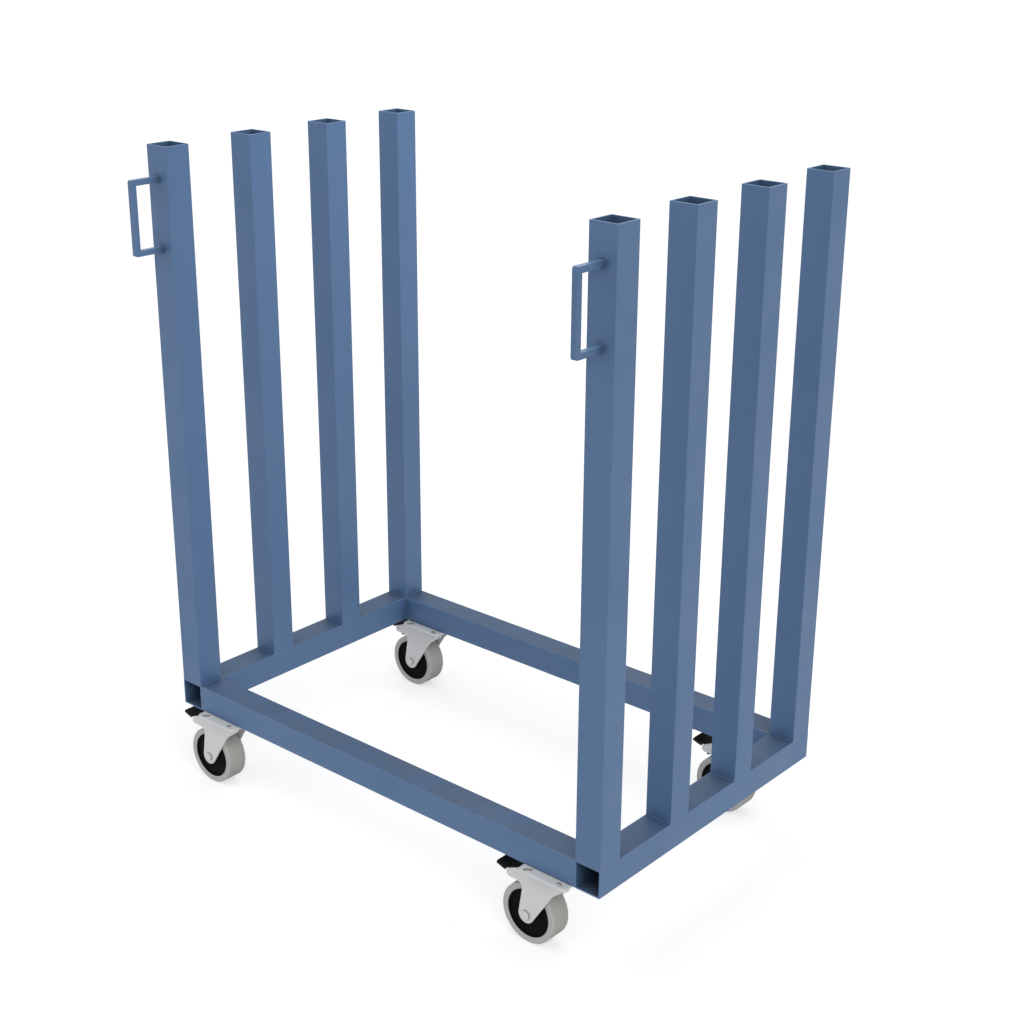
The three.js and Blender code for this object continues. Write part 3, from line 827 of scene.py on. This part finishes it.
def square_bead(name, centre, axis, half):
    """A bead all round a square bar that stands on a face. The axis points away from the face."""
    outward = [X, axis.cross(X), -X, -axis.cross(X)]
    per_side = max(2, round(2 * half / WELD_RIPPLE)) * WELD_STEPS
    rings = []
    for k, out in enumerate(outward):
        turn = outward[(k + 1) % 4]
        for i in range(per_side + 1):
            root = centre + out * half + turn * (2 * half * i / per_side - half)
            size = ripple(2 * half * (k + i / per_side))
            rings.append(bead_ring(root, turn, axis, out, WELD_LEG * size))
        corner = centre + (out + turn) * half
        for i in range(1, WELD_STEPS):
            angle = math.pi / 2 * i / WELD_STEPS
            between = out * math.cos(angle) + turn * math.sin(angle)
            onward = turn * math.cos(angle) - out * math.sin(angle)
            rings.append(bead_ring(corner, onward, axis, between, WELD_LEG))
    return loft(name, rings, ends="joined")


def place_beads(name, meshes):
    """Several beads as one piece, since they are one kind of work on one body."""
    bm = bmesh.new()
    for mesh in meshes:
        bm.from_mesh(mesh)
    joined = mesh_from(bm, name)
    joined.materials.append(shaded_weld_paint)
    place_piece(name, joined, "frame", "frame_blue")


print("bead helpers ready")

# %% [markdown]
# The feet of the uprights are welded where they meet the rail's top in a corner. Where tube faces lie flush,
# the weld is ground flat and doesn't show. The cross rails have a bead in each inside corner, and the grips
# one all round each leg.

# %% Beads on the frame
SEAM_INSET = 3 * MM  # a seam stops short of the tube's rounded corner

rail_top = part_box("side_rail_left")[1].z
rail_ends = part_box("side_rail_left")[0].y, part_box("side_rail_left")[1].y
foot_beads = []
for node in UPRIGHTS:
    low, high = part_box(node)
    for y, out in ((low.y, -Y), (high.y, Y)):
        if min(abs(y - end) for end in rail_ends) > SEAM_INSET:
            start = Vector((low.x + SEAM_INSET, y, rail_top))
            end = Vector((high.x - SEAM_INSET, y, rail_top))
            foot_beads.append(straight_bead(node, start, end, Z, out))

for node in ("front_rail", "rear_rail"):
    low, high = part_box(node)
    inner_y, inward = (high.y, Y) if node == "front_rail" else (low.y, -Y)
    for x, out in ((low.x, X), (high.x, -X)):
        start = Vector((x, inner_y, low.z + SEAM_INSET))
        end = Vector((x, inner_y, high.z - SEAM_INSET))
        foot_beads.append(straight_bead(node, start, end, out, inward))
        start = Vector((x, low.y + SEAM_INSET, high.z))
        end = Vector((x, high.y - SEAM_INSET, high.z))
        foot_beads.append(straight_bead(node, start, end, Z, out))
place_beads("frame_welds", foot_beads)

grip_beads = []
for node in HANDLES:
    feet, half_bar = feet_of(node)
    grip_beads += [square_bead(node, foot, -Y, half_bar) for foot in feet]
place_beads("handle_welds", grip_beads)
print("beads:", len(foot_beads), "in corners and", len(grip_beads), "round the legs of the grips")

# %% [markdown]
# ## Casters
# All four casters are the same, so each piece is made once, with the swivel axis at the origin and the
# plate's top at height zero, and then placed four times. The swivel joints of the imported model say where.

# %% Places of the casters
PLACES = [f"{row}_{side}" for row in ("front", "rear") for side in SIDES]
joint_at = {joint["name"]: Vector(joint["pos_m"]) for joint in frame["joints"]}
AXLE_X = -53 * MM
AXLE_Z = joint_at["front_left_roll"].z - joint_at["front_left_swivel"].z
PIN_X = -95 * MM
PIN_Z = joint_at["front_left_brake"].z - joint_at["front_left_swivel"].z


def fit_casters(part, mesh, group, slot, node):
    """One piece of a caster, placed under each corner of the cart on that corner's body of the group."""
    for place in PLACES:
        body = "frame" if group == "frame" else f"{group}_{place}"
        at = joint_at[place + "_swivel"]
        place_piece(f"{part}_{place}", mesh, body, slot, [f"caster_{place}_{node}"], at)
    print(part, "on", len(PLACES), "casters,", len(mesh.polygons), "faces each")


print("axles", round(AXLE_Z / MM, 1), "mm and pedal pins", round(PIN_Z / MM, 1), "mm from the plates' tops")

# %% [markdown]
# The top plate is cut from 5 mm sheet, with a slot in each corner for bolts. The slots point at the middle,
# so the plate suits more than one pattern of holes. Here it is welded to the rail instead, across both ends,
# and the slots stay empty. Their walls get a darker finish of their own, which is painted shade. The ring of
# the ball race shows in the narrow gap under the plate.

# %% Top plates
PLATE_LENGTH, PLATE_WIDTH, PLATE_THICKNESS = 116 * MM, 102 * MM, 5 * MM
PLATE_CORNER, PLATE_EDGE = 8 * MM, 0.5 * MM
SLOT_LENGTH, SLOT_WIDTH, SLOT_ANGLE = 19 * MM, 9 * MM, math.radians(40)
SLOT_X, SLOT_Y = 39 * MM, 41 * MM
STEEP = 0.5  # a face whose normal leans less than this along an axis is a wall round it

# Painted shade: a darker finish for the walls of the slots and of the axle bolts' heads.
painted_recess_shade = finish_of(
    "painted shade in recesses",
    ((140, 138, 134), (152, 150, 146)),
    worn=(160, 159, 156),
    dust=((130, 126, 118), 200.0, 0.3),
    corner_shade=((90, 88, 85), 0.008, 0.4),
    rough=(0.8, 0.92),
    grain=(2200.0, 200.0, 0.0003, 0.4),
    wear=(0.0006, 300.0, 0.3),
    specular=0.1,
)


def oblong(length, width, corner, steps=8):
    signs = [(1, 1), (-1, 1), (-1, -1), (1, -1)]
    return filleted([(i * length / 2, j * width / 2, corner) for i, j in signs], steps)


NEARLY_HALF = 0.4999  # a slot's round end takes all but a trace of half its width
straight_slot = oblong(SLOT_LENGTH, SLOT_WIDTH, SLOT_WIDTH * NEARLY_HALF)
slots = []
for x in (-SLOT_X, SLOT_X):
    for y in (-SLOT_Y, SLOT_Y):
        turn = Matrix.Rotation(math.copysign(SLOT_ANGLE, x * y), 2)
        slots.append([turn @ point + Vector((x, y)) for point in straight_slot])
plate_outline = oblong(PLATE_LENGTH, PLATE_WIDTH, PLATE_CORNER)
plate_mesh = cut_sheet("top plate", plate_outline, slots, PLATE_THICKNESS, PLATE_EDGE)
slot_middles = [sum(slot, Vector((0, 0))) / len(slot) for slot in slots]


def in_slot(face):
    """Whether a face of the plate is the wall of a slot."""
    from_slot = min((face.center.xy - middle).length for middle in slot_middles)
    return abs(face.normal.z) < STEEP and from_slot < SLOT_LENGTH / 2


# The walls of the slots get the painted shade.
two_finishes(plate_mesh, FINISHES["caster_zinc"], painted_recess_shade, in_slot)
fit_casters("top_plate", moved(plate_mesh, z=-PLATE_THICKNESS / 2), "frame", "caster_zinc", "top_plate")

# %% Ball races, and the welds of the plates
RACE_OUTER, RACE_INNER, RACE_CORNER = 34 * MM, 22 * MM, 1 * MM
RACE_TOP, RACE_BOTTOM = -5.3 * MM, -8 * MM

race_corners = [
    (RACE_INNER, RACE_BOTTOM, 0),
    (RACE_OUTER, RACE_BOTTOM, RACE_CORNER),
    (RACE_OUTER, RACE_TOP, RACE_CORNER),
    (RACE_INNER, RACE_TOP, 0),
]
race_mesh = turned("ball race", filleted(race_corners), closed=True)
race_mesh.transform(Matrix.Rotation(math.pi / 2, 4, "X"))
fit_casters("ball_race", race_mesh, "swivel", "caster_zinc", "ball_race")

plate_beads = []
for place in PLACES:
    at = joint_at[place + "_swivel"]
    low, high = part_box("front_rail" if place.startswith("front") else "rear_rail")
    for out in (-X, X):
        start = Vector((at.x, low.y + SEAM_INSET, low.z)) + out * (PLATE_LENGTH / 2)
        end = start + Y * (high.y - low.y - 2 * SEAM_INSET)
        plate_beads.append(straight_bead(place, start, end, -Z, out))
place_beads("caster_welds", plate_beads)
print("beads at the ends of the plates:", len(plate_beads))

# %% [markdown]
# The fork is one pressing: a flat crown, two cheeks that narrow to the axle, and an arm on each for the
# pedal's pin. It could be lofted, but it is simpler to think as the press does. The section across the
# fork is a U with bent corners. The side view is an outline. The fork is what the two have in common.

# %% Outline of the forks
CROWN_TOP = -8 * MM
SHEET = 4 * MM
FORK_HALF = 29.5 * MM
FORK_BEND, FORK_EDGE = 6 * MM, 0.6 * MM
KINGPIN_HOLE = 7.3 * MM  # radius
CROWN_FRONT, CROWN_BACK = 51 * MM, -55 * MM
ARM_RADIUS = 8.5 * MM
BOSS_RADIUS = 18.5 * MM
FLARE_TOP = Vector((CROWN_FRONT, -16 * MM))
FLARE_PULL = Vector((17 * MM, -39 * MM))
FLARE_END = Vector((11 * MM, -47.5 * MM))
LEG_BACK = Vector((AXLE_X - 10.5 * MM, -60 * MM))
CURVE_STEPS = 12


def bend(start, pull, end):
    """Points of a curve from start to end that is pulled towards a third point."""
    points = []
    for k in range(1, CURVE_STEPS + 1):
        t = k / CURVE_STEPS
        points.append(start * (1 - t) ** 2 + pull * (2 * t * (1 - t)) + end * t**2)
    return points


def arc(centre, radius, start, end, steps=16):
    """Points on a circle from one angle to another, both included."""
    angles = [start + (end - start) * k / steps for k in range(steps + 1)]
    return [centre + Vector((math.cos(a), math.sin(a))) * radius for a in angles]


def touching_angle(point, centre, radius, side):
    """The angle at which a line from the point touches the circle, on one side or the other."""
    away = point - centre
    return math.atan2(away.y, away.x) + side * math.acos(radius / away.length)


axle = Vector((AXLE_X, AXLE_Z))
pin = Vector((PIN_X, PIN_Z))
skirt = CROWN_TOP - SHEET
arm_bottom = PIN_Z - ARM_RADIUS
arm_middle = Vector(((PIN_X + LEG_BACK.x) / 2, arm_bottom))
boss_start = touching_angle(LEG_BACK, axle, BOSS_RADIUS, 1) % math.tau
boss_end = touching_angle(FLARE_END, axle, BOSS_RADIUS, -1) % math.tau
crown_back = Vector((CROWN_BACK, CROWN_TOP))
cheek = [Vector((CROWN_FRONT, CROWN_TOP)), crown_back]
cheek += arc(pin, ARM_RADIUS, touching_angle(crown_back, pin, ARM_RADIUS, 1), 1.5 * math.pi)
cheek += [arm_middle] + bend(arm_middle, Vector((LEG_BACK.x, arm_bottom)), LEG_BACK)
cheek += arc(axle, BOSS_RADIUS, boss_start, boss_end + (math.tau if boss_end < boss_start else 0))
cheek += [FLARE_END] + bend(FLARE_END, FLARE_PULL, FLARE_TOP)
print("fork outline of", len(cheek), "points")

# %% Forks
LOW, LONG = -0.2, 0.4  # the channel reaches well under the fork and past both its ends
inside = FORK_HALF - SHEET
section = [
    (-FORK_HALF, LOW, 0),
    (-inside, LOW, 0),
    (-inside, skirt, FORK_BEND - SHEET),
    (inside, skirt, FORK_BEND - SHEET),
    (inside, LOW, 0),
    (FORK_HALF, LOW, 0),
    (FORK_HALF, CROWN_TOP, FORK_BEND),
    (-FORK_HALF, CROWN_TOP, FORK_BEND),
]
channel = cut_sheet("channel", filleted(section, 6), [], LONG)
blank = side_on(cut_sheet("blank", cheek, [], 4 * FORK_HALF))
pressing = combined(end_on(channel), blank, "INTERSECT")
drill = cut_sheet("drill", circle(KINGPIN_HOLE), [], 4 * SHEET)
fork_mesh = eased_edges(combined(pressing, moved(drill, z=CROWN_TOP), "DIFFERENCE"), FORK_EDGE)
fork_mesh.name = "fork"
fit_casters("fork", fork_mesh, "swivel", "caster_zinc", "fork")

# %% [markdown]
# ## Wheels
# A tyre and its centre are both turned shapes. The tread has shallow grooves all round, which a bump map
# would lose at the outline, and it picks up dust from the floor, so it is browner than the sides. The tyre is
# round here where the solid has flats, so it is made to the height that the cart stands at.

# %% Tyres
TYRE_RADIUS = joint_at["front_left_roll"].z - FLOOR_BELOW / 2
TYRE_HALF = 24 * MM
TYRE_BORE = 51.3 * MM
TYRE_RIM = 23 * MM
LIP_WIDTH, LIP_RISE = 2.5 * MM, 0.6 * MM
SHOULDER, TYRE_ROUND = 1.6 * MM, 0.8 * MM
GROOVES = 7
GROOVE_PITCH = 5.2 * MM
GROOVE_WIDTH = 1.1 * MM
GROOVE_DEPTH, GROOVE_ROUND = 0.7 * MM, 0.15 * MM
WHEEL_STEPS = 144

dusty_tread = finish_of(
    "dusty tread",
    ((187, 185, 180), (180, 178, 173)),
    worn=(164, 161, 155),
    dust=((160, 156, 148), 90.0, 0.15),
    corner_shade=((96, 94, 89), 0.01, 0.4),
    rough=(0.78, 0.9),
    grain=(1500.0, 50.0, 0.0002, 0.3),
    wear=(0.0015, 120.0, 0.4),
    specular=0.2,
)


def other_side(corners):
    """The corners of a turned profile again, mirrored to the back of the wheel and in the opposite order."""
    return [(r, -y, radius) for r, y, radius in reversed(corners)]


front_side = [
    (TYRE_BORE, -TYRE_RIM, LIP_RISE),
    (TYRE_BORE + LIP_WIDTH, -TYRE_RIM - LIP_RISE, TYRE_ROUND),
    (TYRE_RADIUS - SHOULDER, -TYRE_HALF, TYRE_ROUND),
    (TYRE_RADIUS, SHOULDER - TYRE_HALF, TYRE_ROUND),
]
tyre_corners = list(front_side)
for k in range(GROOVES):
    y = (k - (GROOVES - 1) / 2) * GROOVE_PITCH
    tyre_corners += [
        (TYRE_RADIUS, y - GROOVE_WIDTH / 2, GROOVE_ROUND),
        (TYRE_RADIUS - GROOVE_DEPTH, y - GROOVE_WIDTH / 4, GROOVE_ROUND),
        (TYRE_RADIUS - GROOVE_DEPTH, y + GROOVE_WIDTH / 4, GROOVE_ROUND),
        (TYRE_RADIUS, y + GROOVE_WIDTH / 2, GROOVE_ROUND),
    ]
tyre_corners += other_side(front_side)
tyre_mesh = turned("tyre", filleted(tyre_corners, 2), WHEEL_STEPS, closed=True)


def on_tread(face):
    """Whether a face of the tyre belongs to the tread."""
    return abs(face.normal.y) < STEEP and face.center.xz.length > TYRE_RADIUS - SHOULDER


two_finishes(tyre_mesh, FINISHES["tyre_grey"], dusty_tread, on_tread)
fit_casters("tyre", moved(tyre_mesh, x=AXLE_X, z=AXLE_Z), "wheel", "tyre_grey", "tyre")

# %% Wheel centres
CORE_RADIUS = 51 * MM
CORE_RIM = 4 * MM
WEB_HALF = 20 * MM
RIM_SLOPE = 1.4 * MM
HUB_RADIUS = 19 * MM
HUB_HALF = 24.9 * MM
HUB_TAPER = 2 * MM
CORE_BORE = 10.3 * MM
RING_INNER, RING_OUTER, RING_RISE = 30 * MM, 32.4 * MM, 0.6 * MM  # a raised ring on the face of the centre
FINE_ROUND, SMALL_ROUND, HUB_ROUND, WEB_ROUND = 0.3 * MM, 0.4 * MM, 0.8 * MM, 1.2 * MM

half_core = [
    (CORE_BORE, -HUB_HALF, SMALL_ROUND),
    (HUB_RADIUS - HUB_TAPER, -HUB_HALF, HUB_ROUND),
    (HUB_RADIUS, -WEB_HALF, WEB_ROUND),
    (RING_INNER, -WEB_HALF, FINE_ROUND),
    (RING_INNER + RING_RISE, -WEB_HALF - RING_RISE, FINE_ROUND),
    (RING_OUTER - RING_RISE, -WEB_HALF - RING_RISE, FINE_ROUND),
    (RING_OUTER, -WEB_HALF, FINE_ROUND),
    (CORE_RADIUS - CORE_RIM, -WEB_HALF, WEB_ROUND),
    (CORE_RADIUS - CORE_RIM + RIM_SLOPE, -TYRE_RIM, SMALL_ROUND),
    (CORE_RADIUS, -TYRE_RIM, SMALL_ROUND),
]
core_mesh = turned("wheel centre", filleted(half_core + other_side(half_core), 3), WHEEL_STEPS, closed=True)
fit_casters("wheel_centre", moved(core_mesh, x=AXLE_X, z=AXLE_Z), "wheel", "core_black", "wheel_core")

# %% [markdown]
# ## Axles and pins
# The axle is a bolt with a low round head at the front and a hexagon nut behind. The wall of the head gets
# a darker finish, which is painted shade, and that makes it show against the fork. The nut is a hexagon that
# has been turned at both ends, so it is made that way: a six-sided sheet, intersected with a turned blank.
# The pedal's pin is riveted over at both ends.

# %% Axle bolts
HEAD_RADIUS, HEAD_HEIGHT, HEAD_EDGE = 9.5 * MM, 4 * MM, 1 * MM
BOLT_RADIUS = 6 * MM
NUT_HEIGHT = 9 * MM
BOLT_TAIL = 3 * MM
THREAD, THREAD_DEPTH = 1 * MM, 0.5 * MM  # of the thread that shows past the nut
BOLT_STEPS = 48

bolt_head = [
    (0, -FORK_HALF - HEAD_HEIGHT, 0),
    (HEAD_RADIUS, -FORK_HALF - HEAD_HEIGHT, HEAD_EDGE),
    (HEAD_RADIUS, -FORK_HALF, 0),
    (BOLT_RADIUS, -FORK_HALF, 0),
]
bolt_profile = filleted(bolt_head) + [(BOLT_RADIUS, FORK_HALF + NUT_HEIGHT)]
for k in range(round(BOLT_TAIL / THREAD)):
    crest = FORK_HALF + NUT_HEIGHT + (k + 0.5) * THREAD
    bolt_profile += [(BOLT_RADIUS, crest), (BOLT_RADIUS - THREAD_DEPTH, crest + THREAD / 2)]
bolt_profile += [(0, FORK_HALF + NUT_HEIGHT + BOLT_TAIL)]
bolt_mesh = turned("axle bolt", bolt_profile, BOLT_STEPS)


def round_head(face):
    """Whether a face of the bolt is the wall of its head."""
    return abs(face.normal.y) < STEEP and face.center.y < -FORK_HALF


# The wall of the head gets the painted shade.
two_finishes(bolt_mesh, FINISHES["caster_zinc"], painted_recess_shade, round_head)
fit_casters("axle_bolt", moved(bolt_mesh, x=AXLE_X, z=AXLE_Z), "swivel", "caster_zinc", "axle_bolt")

# %% Axle nuts
NUT_FLATS = 18 * MM
NUT_FALL = 0.6  # how far the turned cone falls, as a share of how far the corners reach past the flats
NUT_MARGIN = 1 * MM  # the blank is this much larger than the hexagon

nut_corner = NUT_FLATS / math.sqrt(3)
hexagon = side_on(cut_sheet("nut", circle(nut_corner, 6), [circle(BOLT_RADIUS)], NUT_HEIGHT))
nut_chamfer = (nut_corner - NUT_FLATS / 2) * NUT_FALL
nut_half = NUT_HEIGHT / 2
nut_blank = [
    (0, -nut_half),
    (NUT_FLATS / 2, -nut_half),
    (nut_corner + NUT_MARGIN, nut_chamfer - nut_half),
    (nut_corner + NUT_MARGIN, nut_half - nut_chamfer),
    (NUT_FLATS / 2, nut_half),
    (0, nut_half),
]
nut_mesh = combined(hexagon, turned("nut blank", nut_blank, BOLT_STEPS), "INTERSECT")
nut_place = {"x": AXLE_X, "y": FORK_HALF + nut_half, "z": AXLE_Z}
fit_casters("axle_nut", moved(nut_mesh, **nut_place), "swivel", "caster_zinc", "axle_nut")

# %% Pedal pins
PIN_RADIUS, RIVET_RADIUS, RIVET_HEIGHT = 3.5 * MM, 5.5 * MM, 1.5 * MM
RIVET_RINGS, PIN_STEPS = 8, 32

pin_profile = []
for k in range(RIVET_RINGS + 1):
    angle = math.pi / 2 * k / RIVET_RINGS
    pin_profile.append((RIVET_RADIUS * math.sin(angle), -FORK_HALF - RIVET_HEIGHT * math.cos(angle)))
pin_profile.append((PIN_RADIUS, -FORK_HALF))
pin_profile += [(r, -y) for r, y in reversed(pin_profile)]
pin_mesh = turned("pedal pin", pin_profile, PIN_STEPS)
fit_casters("pedal_pin", moved(pin_mesh, x=PIN_X, z=PIN_Z), "swivel", "caster_zinc", "pedal_pin")

# %% [markdown]
# ## Brake pedals
# A pedal is a plate for the boot, a boss round its pin and a shoe that comes down on the tyre. It is drawn as
# it stands with the brake on, when the plate is level and the shoe follows the tyre, and then tipped back to
# where it rests.

# %% Sizes and plate of the brake pedals
PEDAL_TILT = math.radians(17)
PEDAL_TOP, PEDAL_UNDER = 8.5 * MM, 3.5 * MM
PEDAL_INNER, PEDAL_TIP = -9.3 * MM, -33 * MM
PEDAL_HALF = 34.5 * MM
PEDAL_TIP_CORNER, PEDAL_INNER_CORNER, PEDAL_EDGE = 1.5 * MM, 0.5 * MM, 0.4 * MM

pad_outline = filleted(
    [
        (PEDAL_INNER, -PEDAL_HALF, PEDAL_INNER_CORNER),
        (PEDAL_INNER, PEDAL_HALF, PEDAL_INNER_CORNER),
        (PEDAL_TIP, PEDAL_HALF, PEDAL_TIP_CORNER),
        (PEDAL_TIP, -PEDAL_HALF, PEDAL_TIP_CORNER),
    ],
    8,
)
pad = moved(cut_sheet("pedal", pad_outline, [], PEDAL_TOP - PEDAL_UNDER), z=(PEDAL_TOP + PEDAL_UNDER) / 2)
print("pedal plate of", len(pad.polygons), "faces")

# %% Brake pedals
LEVER_END, LEVER_TAIL = -14.3 * MM, 20 * MM
LEVER_HALF = 24.5 * MM
LUG_RADIUS, PIN_PLAY = 8.5 * MM, 0.2 * MM
SHOE_HALF = 10 * MM
SHOE_FACE = 65.6 * MM
SHOE_START, SHOE_END = math.radians(120), math.radians(129)
SHOE_ROOT_HALF, SHOE_ROOT_DROP = 5.8 * MM, 6.15 * MM

lug_side = math.sqrt(LUG_RADIUS**2 - PEDAL_UNDER**2)
lug_start = math.atan2(PEDAL_UNDER, -lug_side)
lever_outline = [
    Vector((LEVER_TAIL, PEDAL_UNDER)),
    Vector((LEVER_TAIL, PEDAL_TOP)),
    Vector((LEVER_END, PEDAL_TOP)),
    Vector((LEVER_END, PEDAL_UNDER)),
]
lever_outline += arc(Vector((0, 0)), LUG_RADIUS, lug_start, math.tau + math.atan2(PEDAL_UNDER, lug_side))
lever = side_on(cut_sheet("lever", lever_outline, [circle(PIN_RADIUS + PIN_PLAY)], 2 * LEVER_HALF))
shoe_outline = [Vector((-SHOE_ROOT_HALF, -SHOE_ROOT_DROP))]
shoe_outline += arc(axle - pin, SHOE_FACE, SHOE_END, SHOE_START)
shoe_outline += [Vector((SHOE_ROOT_HALF, -SHOE_ROOT_DROP))]
shoe = side_on(cut_sheet("shoe", shoe_outline, [], 2 * SHOE_HALF))
pedal_mesh = combined(combined(pad, lever, "UNION"), shoe, "UNION")
pedal_mesh = eased_edges(pedal_mesh, PEDAL_EDGE)
pedal_mesh.name = "brake pedal"
pedal_mesh.transform(Matrix.Rotation(PEDAL_TILT, 4, "Y"))
fit_casters("brake_pedal", moved(pedal_mesh, x=PIN_X, z=PIN_Z), "pedal", "pedal_black", "brake_pedal")

# %% [markdown]
# ## What is left
# The kingpins and the sleeves round the axles barely show between the cheeks, and their solids are the
# right shape. They keep them, and only get the zinc.

# %% Zinc on the hidden pieces
HIDDEN = [f"caster_{place}_{part}" for place in PLACES for part in ("kingpin", "axle_sleeve")]
for node in HIDDEN:
    for material_slot in frame["nodes"][node].material_slots:
        material_slot.material = FINISHES["caster_zinc"]
print("zinc on", len(HIDDEN), "solids that stay")
